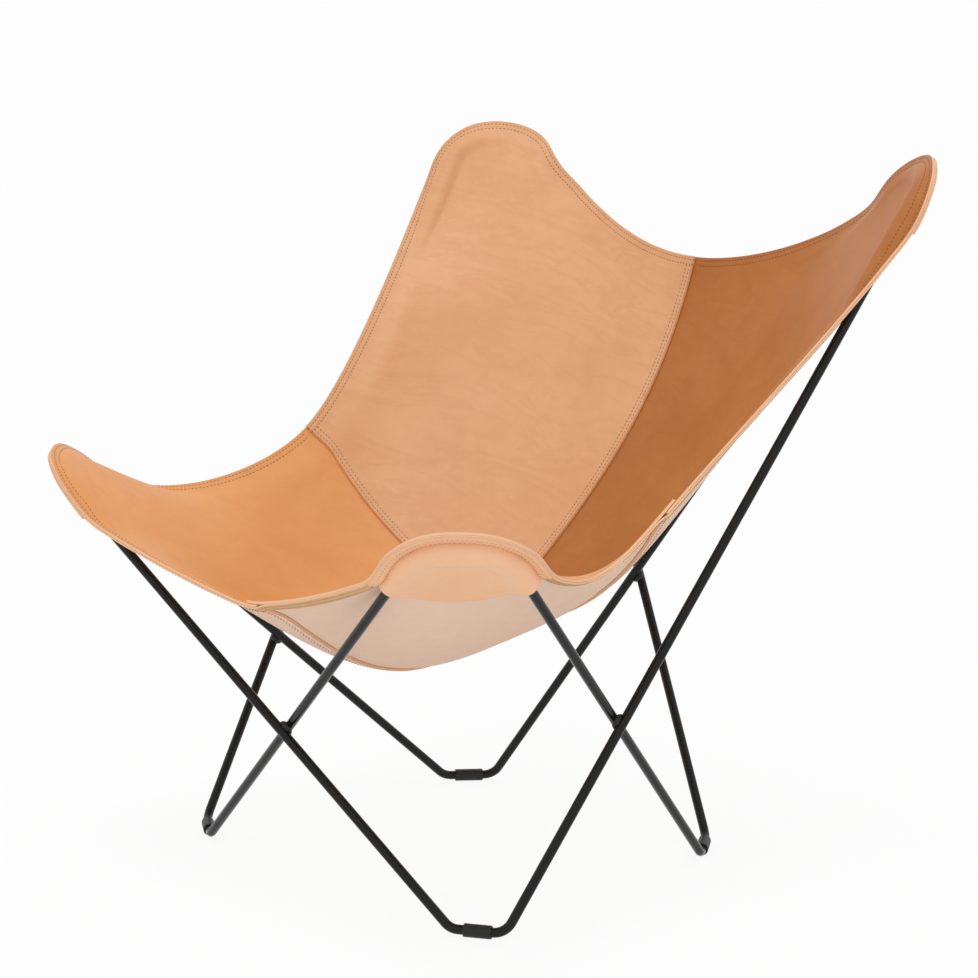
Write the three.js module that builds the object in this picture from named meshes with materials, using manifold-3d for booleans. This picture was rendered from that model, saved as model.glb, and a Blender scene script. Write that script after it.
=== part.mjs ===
// Butterfly sling chair: two bent rod loops, welded where they cross, hold up a sling by its
// four corners. The sling is sewn from four leather panels, with a pocket under each corner.
// Millimetres, +Z up. The sitter faces -Y. The origin is on the floor, under the middle.

import * as THREE from 'three';
import { mergeVertices } from 'three/addons/utils/BufferGeometryUtils.js';
import Module from 'manifold-3d';

const wasm = await Module();
wasm.setup();

// Rod and its bends
const rodDiameter = 12;
const tipBendRadius = 52;
const footBendRadius = 24;
const buttGap = 0.4;

// Feet: short bars on the floor. x and y are each bar's middle, turn is its angle in plan.
const frontFootX = 264;
const frontFootY = 219;
const frontFootBar = 68;
const frontFootTurn = 33;
const backFootX = 228;
const backFootY = 219;
const backFootBar = 70;
const backFootTurn = 53;

// Tips: short bars at the top of each hairpin, where the sling hangs
const frontTipX = 380;
const frontTipY = 356;
const frontTipHeight = 501;
const frontTipBar = 104;
const frontTipTurn = 42.4;
const backTipX = 389.5;
const backTipY = 410;
const backTipHeight = 887;
const backTipBar = 103;
const backTipTurn = 43.4;

// Weld beads at the four crossings
const weldGap = 0.3;
const weldReach = 11.5;
const weldDepth = 6;
const weldEyeRadius = 2;

// Foot sleeves, pushed over the foot bars, with a flat sole
const sleeveWall = 2;
const sleeveFit = 0.3;
const sleeveInset = 1;
const soleDepth = 0.6;

// Leather
const panelThickness = 3.6;
const stripThickness = 2;
const pocketThickness = 2.6;
const hemWidth = 16;
const lapWidth = 22;
const sewnFit = 0.4;

// Sling noses, which follow the rod round each tip
const rodMargin = 28;
const noseBendRadius = 62;
const frontInnerLeg = 77;
const frontOuterLeg = 64;
const backInnerLeg = 50;
const backOuterLeg = 74;
const frontApexLift = 8;
const frontInnerLift = -2.3;
const frontOuterLift = 9.9;
const backApexLift = 5.7;
const backInnerLift = 21.3;
const backOuterLift = -7.8;
const rodCover = 2.4;
const drapeReach = 16;
const pocketSlack = 2.2;
const pocketHollow = 3;
const mouthBow = 10;

// Sling edges between the noses: where each edge's middle hangs, and how long its curves reach
const backEdgeY = 422.3;
const backEdgeHeight = 751.4;
const backEdgeReach = 135;
const backNoseReach = 57.5;
const sideEdgeX = 349;
const sideEdgeY = 19;
const sideEdgeHeight = 513;
const sideEdgeSlope = 36;
const sideEdgeReach = 92;
const upperNoseReach = 122;
const lowerNoseReach = 98;
const frontEdgeY = 360;
const frontEdgeHeight = 383;
const frontEdgeReach = 48;
const frontNoseReach = 32.7;

// How far each edge turns away from the rod, and out of the tip's plane, as it leaves the nose
const backInnerFlare = 0.69;
const backInnerRise = -0.44;
const backOuterFlare = 0;
const backOuterRise = 0.12;
const frontInnerFlare = 0.41;
const frontInnerRise = 0.01;
const frontOuterFlare = 0.17;
const frontOuterRise = 0.21;

// How the slack sling hangs below a sheet stretched on its edge
const seatSag = 297;
const backSag = 92;
const crossSag = 117;
const edgeSag = 47;
const edgeLift = 300;
const seatShift = 46;
const seatGather = 98;
const seatHole = 2.5;

// Facets
const rodSides = 7;
const bendSteps = 6;
const roundSides = 16;
const rimSamples = 64;
const rimHarmonics = 60;
const edgeColumns = 7;
const noseColumns = 12;
const seatRings = 9;

const rodRadius = rodDiameter / 2;
const sleeveBore = rodRadius + sleeveFit;
const sleeveRadius = sleeveBore + sleeveWall;
const footHeight = sleeveRadius - soleDepth;
const quarter = Math.PI / 2;

const chair = new THREE.Group();

function addPiece(name, geometry, material) {
  const mesh = new THREE.Mesh(geometry, new THREE.MeshStandardMaterial(material));
  mesh.name = name;
  chair.add(mesh);
  return mesh;
}

function direction(from, to) {
  return new THREE.Vector3().subVectors(to, from).normalize();
}

function between(from, to, share) {
  return new THREE.Vector3().lerpVectors(from, to, share);
}

function moved(point, along, distance) {
  return point.clone().addScaledVector(along, distance);
}

// The four corners, in order round the sling from the back. side is -1 on the left and
// end is 1 at the back. The two upper panels lap over the two lower ones at each seam.
const corners = [
  { name: 'back_left', side: -1, end: 1, upper: true },
  { name: 'front_left', side: -1, end: -1, upper: false },
  { name: 'front_right', side: 1, end: -1, upper: true },
  { name: 'back_right', side: 1, end: 1, upper: false },
];

function cornerAt(side, end) {
  return corners.find((corner) => corner.side === side && corner.end === end);
}

// A bar lies level at a corner, with its inner end nearer the chair's middle line.
function levelBar(corner, x, y, height, length, turn, shift) {
  const angle = THREE.MathUtils.degToRad(turn);
  const along = new THREE.Vector3(corner.side * Math.cos(angle), -corner.end * Math.sin(angle), 0);
  const middle = new THREE.Vector3(corner.side * x + shift.x, corner.end * y - shift.y, height);
  return {
    along,
    middle,
    inner: moved(middle, along, -length / 2),
    outer: moved(middle, along, length / 2),
  };
}

// Each loop joins two opposite tips and the two other feet. One loop sits a little to the
// front right and the other to the back left, so their rods touch side by side.
function layFrame(offset) {
  const frame = new Map();
  for (const corner of corners) {
    const back = corner.end > 0;
    const loop = corner.side * corner.end;
    const tipShift = { x: loop * offset.x, y: loop * offset.y };
    const footShift = { x: -loop * offset.x, y: -loop * offset.y };
    const tip = back
      ? levelBar(corner, backTipX, backTipY, backTipHeight, backTipBar, backTipTurn, tipShift)
      : levelBar(corner, frontTipX, frontTipY, frontTipHeight, frontTipBar, frontTipTurn, tipShift);
    const foot = back
      ? levelBar(corner, backFootX, backFootY, footHeight, backFootBar, backFootTurn, footShift)
      : levelBar(corner, frontFootX, frontFootY, footHeight, frontFootBar, frontFootTurn, footShift);
    frame.set(corner.name, { tip, foot });
  }
  for (const corner of corners) {
    const place = frame.get(corner.name);
    const across = frame.get(cornerAt(-corner.side, corner.end).name).foot;
    const along = frame.get(cornerAt(corner.side, -corner.end).name).foot;
    place.innerRod = { from: place.tip.inner, to: across.inner, foot: across };
    place.outerRod = { from: place.tip.outer, to: along.outer, foot: along };
  }
  return frame;
}

// Where two rods pass each other: the middle of the shortest line between them
function passing(first, second) {
  const firstWay = direction(first.from, first.to);
  const secondWay = direction(second.from, second.to);
  const cross = new THREE.Vector3().crossVectors(firstWay, secondWay);
  const apart = new THREE.Vector3().subVectors(second.from, first.from);
  const run = apart.clone().cross(secondWay).dot(cross) / cross.lengthSq();
  const normal = cross.clone().normalize();
  const spacing = apart.dot(normal);
  const onFirst = moved(first.from, firstWay, run);
  return { firstWay, secondWay, normal, spacing, middle: moved(onFirst, normal, spacing / 2) };
}

function crossings(frame) {
  const inner = (name) => frame.get(name).innerRod;
  const outer = (name) => frame.get(name).outerRod;
  return {
    front: passing(inner('front_left'), inner('front_right')),
    back: passing(inner('back_left'), inner('back_right')),
    left: passing(outer('back_left'), outer('front_left')),
    right: passing(outer('back_right'), outer('front_right')),
  };
}

// The spacing at a crossing grows in step with the offset of the loops, so the offset that
// lets the rods just clear each other follows from three trial frames.
function loopOffset() {
  const still = crossings(layFrame({ x: 0, y: 0 }));
  const sideways = crossings(layFrame({ x: 1, y: 0 }));
  const lengthways = crossings(layFrame({ x: 0, y: 1 }));
  const wanted = rodDiameter + weldGap;
  const needs = (place, change, other) => {
    const rate = change[place].spacing - still[place].spacing;
    return (wanted - Math.sign(rate) * (still[place].spacing + other)) / Math.abs(rate);
  };
  const y = Math.max(needs('front', lengthways, 0), needs('back', lengthways, 0));
  const carried = (place) => y * (lengthways[place].spacing - still[place].spacing);
  const x = Math.max(needs('left', sideways, carried('left')), needs('right', sideways, carried('right')));
  return { x, y };
}

const frame = layFrame(loopOffset());

// A path whose stations are given one by one, so rings fall only where the rod bends
class StationPath extends THREE.Curve {
  constructor(stations) {
    super();
    this.stations = stations;
  }

  stationAt(share) {
    return this.stations[Math.round(share * (this.stations.length - 1))];
  }

  getPoint(share, target = new THREE.Vector3()) {
    return target.copy(this.stationAt(share).point);
  }

  getPointAt(share, target) {
    return this.getPoint(share, target);
  }

  getTangent(share, target = new THREE.Vector3()) {
    return target.copy(this.stationAt(share).way);
  }

  getTangentAt(share, target) {
    return this.getTangent(share, target);
  }
}

// Straight runs through the given turns, each rounded to its own radius
function bentPath(start, turns, finish) {
  const stops = [start, ...turns.map((turn) => turn.point), finish];
  const stations = [{ point: start, way: direction(stops[0], stops[1]) }];
  turns.forEach((turn, index) => {
    const before = direction(stops[index], turn.point);
    const after = direction(turn.point, stops[index + 2]);
    const angle = before.angleTo(after);
    const entry = moved(turn.point, before, -turn.radius * Math.tan(angle / 2));
    const inward = moved(after, before, -before.dot(after)).normalize();
    for (let step = 0; step <= bendSteps; step += 1) {
      const part = (angle * step) / bendSteps;
      const point = moved(entry, before, turn.radius * Math.sin(part));
      point.addScaledVector(inward, turn.radius * (1 - Math.cos(part)));
      const way = before.clone().multiplyScalar(Math.cos(part)).addScaledVector(inward, Math.sin(part));
      stations.push({ point, way });
    }
  });
  stations.push({ point: finish, way: direction(stops[stops.length - 2], finish) });
  return new StationPath(stations);
}

function sweepRod(path) {
  const section = new THREE.Shape().absarc(0, 0, rodRadius, 0, 2 * Math.PI);
  return new THREE.ExtrudeGeometry(section, {
    steps: path.stations.length - 1,
    curveSegments: rodSides,
    bevelEnabled: false,
    extrudePath: path,
  });
}

// Each hairpin runs from one foot over its tip to another foot. Two hairpins make a loop,
// butted together inside the foot sleeves.
const blackCoat = { color: 0x17140f, roughness: 0.32, metalness: 0.2 };
for (const corner of corners) {
  const { tip, innerRod, outerRod } = frame.get(corner.name);
  const start = moved(outerRod.foot.middle, outerRod.foot.along, buttGap / 2);
  const finish = moved(innerRod.foot.middle, innerRod.foot.along, -buttGap / 2);
  const turns = [
    { point: outerRod.to, radius: footBendRadius },
    { point: tip.outer, radius: tipBendRadius },
    { point: tip.inner, radius: tipBendRadius },
    { point: innerRod.to, radius: footBendRadius },
  ];
  addPiece(`frame_rod_${corner.name}`, sweepRod(bentPath(start, turns, finish)), blackCoat);
}

function asManifold(geometry, matrix) {
  const plain = geometry.clone();
  plain.deleteAttribute('normal');
  plain.deleteAttribute('uv');
  plain.applyMatrix4(matrix);
  const welded = mergeVertices(plain, 1e-4);
  const mesh = new wasm.Mesh({
    numProp: 3,
    vertProperties: new Float32Array(welded.attributes.position.array),
    triVerts: new Uint32Array(welded.index.array),
  });
  return new wasm.Manifold(mesh);
}

function asGeometry(solid) {
  const mesh = solid.getMesh();
  const geometry = new THREE.BufferGeometry();
  geometry.setAttribute('position', new THREE.BufferAttribute(new Float32Array(mesh.vertProperties), 3));
  geometry.setIndex(new THREE.BufferAttribute(new Uint32Array(mesh.triVerts), 1));
  geometry.computeVertexNormals();
  return geometry;
}

function placed(xAxis, yAxis, zAxis, point) {
  return new THREE.Matrix4().makeBasis(xAxis, yAxis, zAxis).setPosition(point);
}

// A weld bead fills the four angles between two crossing rods, just clear of both. It is open
// in the very middle, where the rods come closest.
function weldBead(place) {
  const { firstWay, secondWay, normal, spacing, middle } = place;
  const xAxis = firstWay.clone().add(secondWay).normalize();
  const yAxis = new THREE.Vector3().crossVectors(normal, xAxis);
  const depth = Math.abs(spacing) / 2 - rodRadius + weldDepth;
  const stretch = new THREE.Matrix4().makeScale(weldReach, weldReach, depth);
  const ball = new THREE.SphereGeometry(1, roundSides, roundSides / 2);
  const cutRadius = (rodRadius + weldGap) / Math.cos(Math.PI / roundSides);
  const cutter = new THREE.CylinderGeometry(cutRadius, cutRadius, 4 * weldReach, roundSides);
  const rodCutter = (way, side) => {
    const xSide = new THREE.Vector3().crossVectors(way, normal);
    return asManifold(cutter, placed(xSide, way, normal, moved(middle, normal, side * spacing / 2)));
  };
  const bead = asManifold(ball, placed(xAxis, yAxis, normal, middle).multiply(stretch));
  const eye = new THREE.CylinderGeometry(weldEyeRadius, weldEyeRadius, 4 * weldReach, roundSides);
  const eyeCutter = asManifold(eye, placed(yAxis, normal, xAxis, middle));
  const cut = bead.subtract(rodCutter(firstWay, -1)).subtract(rodCutter(secondWay, 1));
  return asGeometry(cut.subtract(eyeCutter));
}

for (const [name, place] of Object.entries(crossings(frame))) {
  addPiece(`weld_${name}`, weldBead(place), { color: 0x15120e, roughness: 0.45, metalness: 0.2 });
}

// A sleeve covers the straight middle of a foot bar and stands on its flat sole.
function footSleeve(foot, length) {
  const soleAngle = Math.acos(footHeight / sleeveRadius);
  const section = new THREE.Shape();
  section.absarc(0, 0, sleeveRadius, soleAngle - quarter, 3 * quarter - soleAngle);
  section.closePath();
  section.holes.push(new THREE.Path().absarc(0, 0, sleeveBore, 0, 2 * Math.PI, true));
  const geometry = new THREE.ExtrudeGeometry(section, {
    depth: length,
    curveSegments: roundSides,
    bevelEnabled: false,
  });
  geometry.translate(0, 0, -length / 2);
  const up = new THREE.Vector3(0, 0, 1);
  const side = new THREE.Vector3().crossVectors(up, foot.along);
  return geometry.applyMatrix4(placed(side, up, foot.along, foot.middle));
}

function straightHalf(foot, end, rod) {
  const bend = direction(rod.to, rod.from).angleTo(direction(foot.middle, end));
  return foot.middle.distanceTo(end) - footBendRadius * Math.tan(bend / 2);
}

for (const corner of corners) {
  const { foot } = frame.get(corner.name);
  const innerRod = frame.get(cornerAt(-corner.side, corner.end).name).innerRod;
  const outerRod = frame.get(cornerAt(corner.side, -corner.end).name).outerRod;
  const half = Math.min(straightHalf(foot, foot.inner, innerRod), straightHalf(foot, foot.outer, outerRod));
  const sleeve = footSleeve(foot, 2 * (half - sleeveInset));
  addPiece(`foot_sleeve_${corner.name}`, sleeve, { color: 0x1b1a18, roughness: 0.55, metalness: 0 });
}

// Each tip has its own axes: across the bar, outward along the plane of its two rods, and up.
for (const corner of corners) {
  const place = frame.get(corner.name);
  const innerWay = direction(place.innerRod.from, place.innerRod.to);
  const outerWay = direction(place.outerRod.from, place.outerRod.to);
  const across = direction(place.tip.outer, place.tip.inner);
  const down = innerWay.clone().add(outerWay);
  const outward = moved(down, across, -down.dot(across)).normalize().negate();
  const up = new THREE.Vector3().crossVectors(across, outward);
  up.multiplyScalar(Math.sign(up.z));
  const flat = (way) => new THREE.Vector2(way.dot(across), way.dot(outward)).normalize();
  corner.axes = { middle: place.tip.middle, across, outward, up };
  corner.half = place.tip.inner.distanceTo(place.tip.outer) / 2;
  corner.legs = { inner: flat(innerWay), outer: flat(outerWay) };
}

function tipPoint(corner, x, y, lift) {
  const { middle, across, outward, up } = corner.axes;
  return moved(moved(moved(middle, across, x), outward, y), up, lift);
}

function tipLocal(corner, point) {
  const { middle, across, outward, up } = corner.axes;
  const apart = new THREE.Vector3().subVectors(point, middle);
  return { flat: new THREE.Vector2(apart.dot(across), apart.dot(outward)), lift: apart.dot(up) };
}

// Half of the line that a bend of the given radius draws round a tip, set off to the outside,
// from the middle of the bar to a point down one rod
function tipLine(corner, leg, radius, setOff, run) {
  const side = leg === corner.legs.inner ? 1 : -1;
  const turn = Math.acos(side * leg.x);
  const trim = radius * Math.tan(turn / 2);
  const centre = new THREE.Vector2(side * (corner.half - trim), -radius);
  const line = [new THREE.Vector2(0, setOff)];
  for (let step = 0; step <= bendSteps; step += 1) {
    const angle = quarter - (side * turn * step) / bendSteps;
    const reach = radius + setOff;
    line.push(new THREE.Vector2(Math.cos(angle), Math.sin(angle)).multiplyScalar(reach).add(centre));
  }
  line.push(line[line.length - 1].clone().addScaledVector(leg, run - trim));
  return line;
}

function smooth(share) {
  return share * share * (3 - 2 * share);
}

function lengths(points) {
  const sums = [0];
  for (let index = 1; index < points.length; index += 1) {
    sums.push(sums[index - 1] + points[index].distanceTo(points[index - 1]));
  }
  return sums;
}

// One half of a nose, from its apex to where the edge leaves the rod
function noseHalf(corner, leg, run, endLift) {
  const apexLift = corner.end > 0 ? backApexLift : frontApexLift;
  const line = tipLine(corner, leg, noseBendRadius, rodMargin, run);
  const sums = lengths(line);
  const total = sums[sums.length - 1];
  return line.map((point, index) => {
    const lift = apexLift + (endLift - apexLift) * smooth(sums[index] / total);
    return tipPoint(corner, point.x, point.y, lift);
  });
}

function leaving(corner, leg, flare, rise) {
  const { across, outward, up } = corner.axes;
  const side = leg === corner.legs.inner ? 1 : -1;
  const away = new THREE.Vector2(-leg.y, leg.x).multiplyScalar(side);
  const flat = leg.clone().addScaledVector(away, flare);
  const way = across.clone().multiplyScalar(flat.x).addScaledVector(outward, flat.y);
  return way.addScaledVector(up, rise).normalize();
}

function curvePoints(start, startPull, endPull, end) {
  return new THREE.CubicBezierCurve3(start, startPull, endPull, end).getPoints(rimSamples);
}

// The sling's edge over one corner, from the middle of the back or front edge to the middle
// of the side edge, in three stretches
function cornerEdge(corner) {
  const back = corner.end > 0;
  const { inner, outer } = corner.legs;
  const innerHalf = back
    ? noseHalf(corner, inner, backInnerLeg, backInnerLift)
    : noseHalf(corner, inner, frontInnerLeg, frontInnerLift);
  const outerHalf = back
    ? noseHalf(corner, outer, backOuterLeg, backOuterLift)
    : noseHalf(corner, outer, frontOuterLeg, frontOuterLift);
  const innerEnd = innerHalf[innerHalf.length - 1];
  const outerEnd = outerHalf[outerHalf.length - 1];
  const innerWay = back
    ? leaving(corner, inner, backInnerFlare, backInnerRise)
    : leaving(corner, inner, frontInnerFlare, frontInnerRise);
  const outerWay = back
    ? leaving(corner, outer, backOuterFlare, backOuterRise)
    : leaving(corner, outer, frontOuterFlare, frontOuterRise);
  const endMiddle = back
    ? new THREE.Vector3(0, backEdgeY, backEdgeHeight)
    : new THREE.Vector3(0, -frontEdgeY, frontEdgeHeight);
  const endPull = endMiddle.clone();
  endPull.x += corner.side * (back ? backEdgeReach : frontEdgeReach);
  const slope = THREE.MathUtils.degToRad(sideEdgeSlope);
  const sideMiddle = new THREE.Vector3(corner.side * sideEdgeX, sideEdgeY, sideEdgeHeight);
  const sideWay = new THREE.Vector3(0, Math.cos(slope), Math.sin(slope));
  const sidePull = moved(sideMiddle, sideWay, corner.end * sideEdgeReach);
  const innerPull = moved(innerEnd, innerWay, back ? backNoseReach : frontNoseReach);
  const outerPull = moved(outerEnd, outerWay, back ? upperNoseReach : lowerNoseReach);
  return [
    curvePoints(endMiddle, endPull, innerPull, innerEnd),
    [...innerHalf.slice(1).reverse(), ...outerHalf],
    curvePoints(outerEnd, outerPull, sidePull, sideMiddle),
  ];
}

function evenPoints(points, count) {
  const sums = lengths(points);
  const total = sums[sums.length - 1];
  const even = [];
  let index = 1;
  for (let step = 0; step < count; step += 1) {
    const reach = (total * step) / count;
    while (sums[index] < reach) {
      index += 1;
    }
    const share = (reach - sums[index - 1]) / (sums[index] - sums[index - 1]);
    even.push(between(points[index - 1], points[index], share));
  }
  return even;
}

// The whole edge, round from the back by the left. Each corner takes a quarter turn, and
// marks where its nose begins and ends.
const rim = [];
corners.forEach((corner, index) => {
  const stretches = cornerEdge(corner);
  if (index % 2 === 1) {
    stretches.reverse().forEach((stretch) => stretch.reverse());
  }
  const spans = stretches.map((stretch) => lengths(stretch).pop());
  const total = spans[0] + spans[1] + spans[2];
  corner.start = index * quarter;
  corner.noseStart = corner.start + (quarter * spans[0]) / total;
  corner.noseEnd = corner.start + (quarter * (spans[0] + spans[1])) / total;
  const whole = [...stretches[0], ...stretches[1].slice(1), ...stretches[2].slice(1)];
  rim.push(...evenPoints(whole, rimSamples));
});

// A sheet stretched on the edge: each wave of the edge fades inward by its own count.
const waves = [];
for (let count = 0; count <= rimHarmonics; count += 1) {
  const wave = { cos: new THREE.Vector3(), sin: new THREE.Vector3() };
  rim.forEach((point, index) => {
    const angle = (count * index * 2 * Math.PI) / rim.length;
    const weight = (count === 0 ? 1 : 2) / rim.length;
    wave.cos.addScaledVector(point, weight * Math.cos(angle));
    wave.sin.addScaledVector(point, weight * Math.sin(angle));
  });
  waves.push(wave);
}

// The sling's surface. out is 0 at the seat's middle and 1 at the edge, turn is 0 at the back.
function hang(out, turn) {
  const point = new THREE.Vector3();
  waves.forEach((wave, count) => {
    const fade = out ** count;
    point.addScaledVector(wave.cos, fade * Math.cos(count * turn));
    point.addScaledVector(wave.sin, fade * Math.sin(count * turn));
  });
  const slack = 1 - out * out;
  const crossing = crossSag * Math.cos(2 * turn) + edgeSag * Math.cos(4 * turn);
  const place = Math.cos(2 * turn) ** 2 * (1 - Math.cos(3 * turn)) * (2 + Math.cos(turn)) / 4;
  const lift = edgeLift * out ** 6 * place;
  point.z -= slack * (seatSag + backSag * out ** 3 * Math.cos(turn) + out * out * crossing - lift);
  point.y += slack * (seatShift - seatGather * out * Math.cos(turn));
  return point;
}

const nudge = 0.005;

function turnWay(out, turn) {
  return hang(out, turn + nudge).sub(hang(out, turn - nudge)).divideScalar(2 * nudge);
}

function outWay(out, turn) {
  return hang(out + nudge, turn).sub(hang(out - nudge, turn)).divideScalar(2 * nudge);
}

function faceUp(out, turn) {
  return outWay(out, turn).cross(turnWay(out, turn)).normalize();
}

// Inside the hem the sheet follows the hanging shape, from where that is well clear of the edge.
const bodyInset = rodMargin + 3 * rodRadius;
const bandTilt = 0.9;

function edgeGap(point) {
  return Math.min(...rim.map((edge) => edge.distanceTo(point)));
}

function bodyStart(turn) {
  let out = 1;
  while (edgeGap(hang(out, turn)) < bodyInset) {
    out -= nudge / 2;
  }
  return out;
}

// The hem keeps its width, square to the edge, and takes the tilt of the sheet just inside it.
// Away from the noses its columns lean towards the seams, so that a seam runs straight.
function bandNode(inset, turn, lean, target) {
  const up = faceUp(bandTilt, turn);
  const inward = new THREE.Vector3().crossVectors(up, turnWay(1, turn)).normalize();
  const edge = hang(1, turn);
  const way = direction(edge, target);
  const along = inward.clone().lerp(way.divideScalar(Math.max(0.5, way.dot(inward))), lean);
  return { point: moved(edge, along, inset), up };
}

// The rings of nodes down one column, from the edge to the small gap at the seat's middle
function columnNodes(turnAt, columnTurn, lean) {
  const edgeTurn = turnAt(1, columnTurn);
  const first = bodyStart(edgeTurn);
  const last = seatHole / outWay(2 * nudge, columnTurn).length();
  const body = [];
  for (let ring = 0; ring < seatRings; ring += 1) {
    const out = last + (first - last) * (1 - ring / (seatRings - 1));
    const turn = turnAt(out, columnTurn);
    body.push({ point: hang(out, turn), up: faceUp(Math.max(out, 2 * nudge), turn) });
  }
  const [edge, hem] = [0, hemWidth].map((inset) => bandNode(inset, edgeTurn, lean, body[0].point));
  const share = (rodMargin - hemWidth) / (bodyInset - hemWidth);
  const overRod = {
    point: between(hem.point, body[0].point, share),
    up: between(hem.up, body[0].up, share).normalize(),
  };
  return [edge, hem, overRod, ...body];
}

// Near a seam the columns keep the width of the lap, down to a limit near the middle.
const lapLimit = quarter * 0.3;

function lapTurn(out, seam) {
  return Math.min(lapLimit, lapWidth / turnWay(out, seam).length());
}

// Lifts a node clear of the rod that it lies over at a tip.
function rodDistance(corner, flat) {
  return Math.min(...corner.rodLines.map((line) => {
    let nearest = Infinity;
    for (let index = 1; index < line.length; index += 1) {
      const way = line[index].clone().sub(line[index - 1]);
      const along = flat.clone().sub(line[index - 1]).dot(way) / way.lengthSq();
      const foot = line[index - 1].clone().addScaledVector(way, THREE.MathUtils.clamp(along, 0, 1));
      nearest = Math.min(nearest, foot.distanceTo(flat));
    }
    return nearest;
  }));
}

for (const corner of corners) {
  const run = backTipHeight / 3;
  const { inner, outer } = corner.legs;
  corner.rodLines = [inner, outer].map((leg) => tipLine(corner, leg, tipBendRadius, 0, run));
}

function drape(corner, point) {
  const local = tipLocal(corner, point);
  const distance = rodDistance(corner, local.flat);
  const cover = (rodRadius + rodCover) * (1 - (distance / drapeReach) ** 2);
  return cover > local.lift ? moved(point, corner.axes.up, cover - local.lift) : point;
}

function evenTurns(from, to, count) {
  return Array.from({ length: count }, (unused, index) => from + ((to - from) * index) / count);
}

// A panel's under face, as columns of nodes. Upper panels stop at their seams. Lower panels
// run on below them by the width of the lap.
function panelColumns(corner) {
  const level = corner.upper ? 0 : -panelThickness - sewnFit;
  const finish = corner.start + quarter;
  const inside = [
    ...evenTurns(corner.start, corner.noseStart, edgeColumns).slice(1),
    ...evenTurns(corner.noseStart, corner.noseEnd, noseColumns),
    ...evenTurns(corner.noseEnd, finish, edgeColumns),
  ];
  const squeeze = (out, turn) => {
    const startLap = lapTurn(out, corner.start) - lapTurn(1, corner.start);
    const finishLap = lapTurn(out, finish) - lapTurn(1, finish);
    return turn + startLap + ((turn - corner.start) / quarter) * (-startLap - finishLap);
  };
  const leanAt = (turn) => Math.max(
    1 - (turn - corner.start) / (corner.noseStart - corner.start),
    1 - (finish - turn) / (finish - corner.noseEnd),
    0,
  );
  const laps = (seam, way) => columnNodes((out) => seam + way * lapTurn(out, seam), seam, 1);
  const seams = (seam) => columnNodes(() => seam, seam, 1);
  const open = corner.upper ? 1 : -1;
  const startPair = [seams(corner.start), laps(corner.start, open)];
  const finishPair = [laps(finish, -open), seams(finish)];
  if (!corner.upper) {
    startPair.reverse();
    finishPair.reverse();
  }
  const middle = inside.map((turn) => columnNodes(squeeze, turn, smooth(leanAt(turn))));
  const columns = [...startPair, ...middle, ...finishPair];
  corner.noseColumn = 2 + edgeColumns - 1;
  const lay = ({ point, up }) => ({ point: drape(corner, moved(point, up, level)), up });
  return columns.map((column) => column.map(lay));
}

// A closed sheet between two grids of points with the same rows and columns
function sheetSolid(tops, unders) {
  const rows = tops.length;
  const columns = tops[0].length;
  const points = [...tops.flat(), ...unders.flat()];
  const top = (row, column) => row * columns + column;
  const under = (row, column) => rows * columns + top(row, column);
  const faces = [];
  const quad = (a, b, c, d) => faces.push(a, b, c, a, c, d);
  for (let row = 0; row + 1 < rows; row += 1) {
    const next = row + 1;
    for (let column = 0; column + 1 < columns; column += 1) {
      const beside = column + 1;
      quad(top(row, column), top(next, column), top(next, beside), top(row, beside));
      quad(under(row, column), under(row, beside), under(next, beside), under(next, column));
    }
    const far = columns - 1;
    quad(top(row, 0), under(row, 0), under(next, 0), top(next, 0));
    quad(top(row, far), top(next, far), under(next, far), under(row, far));
  }
  for (let column = 0; column + 1 < columns; column += 1) {
    const beside = column + 1;
    const far = rows - 1;
    quad(top(0, column), top(0, beside), under(0, beside), under(0, column));
    quad(top(far, column), under(far, column), under(far, beside), top(far, beside));
  }
  const geometry = new THREE.BufferGeometry().setFromPoints(points);
  geometry.setIndex(faces);
  geometry.computeVertexNormals();
  return geometry;
}

function layer(columns, top, under) {
  const shifted = (distance) => columns.map((column) => (
    column.map(({ point, up }) => moved(point, up, distance))
  ));
  return sheetSolid(shifted(top), shifted(under));
}

const leather = {
  back_left: { color: 0xe0ab80, roughness: 0.62, metalness: 0 },
  front_left: { color: 0xe0a067, roughness: 0.6, metalness: 0 },
  front_right: { color: 0xe2a876, roughness: 0.6, metalness: 0 },
  back_right: { color: 0xb9723f, roughness: 0.6, metalness: 0 },
};

for (const corner of corners) {
  corner.columns = panelColumns(corner);
  addPiece(`panel_${corner.name}`, layer(corner.columns, panelThickness, 0), leather[corner.name]);
}

// Edge strips back the hem from apex to apex, under the lower panel, its lap and the upper panel.
const stripNames = ['edge_strip_left', 'edge_strip_front', 'edge_strip_right', 'edge_strip_back'];

function hemNodes(column) {
  return column.slice(0, 2);
}

corners.forEach((corner, index) => {
  const next = corners[(index + 1) % corners.length];
  const apexOf = (place) => place.noseColumn + noseColumns / 2;
  const before = corner.columns.slice(apexOf(corner));
  const after = next.columns.slice(0, apexOf(next) + 1);
  const joined = corner.upper ? [...before.slice(0, -2), ...after] : [...before, ...after.slice(2)];
  const hem = joined.map(hemNodes);
  const trimmed = (end, beside) => end.map(({ point, up }, row) => ({
    point: moved(point, direction(point, beside[row].point), sewnFit / 2),
    up,
  }));
  const last = hem.length - 1;
  const strip = [trimmed(hem[0], hem[1]), ...hem.slice(1, last), trimmed(hem[last], hem[last - 1])];
  const geometry = layer(strip, -sewnFit, -sewnFit - stripThickness);
  addPiece(stripNames[index], geometry, { color: 0xe6bd96, roughness: 0.8, metalness: 0 });
});

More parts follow.
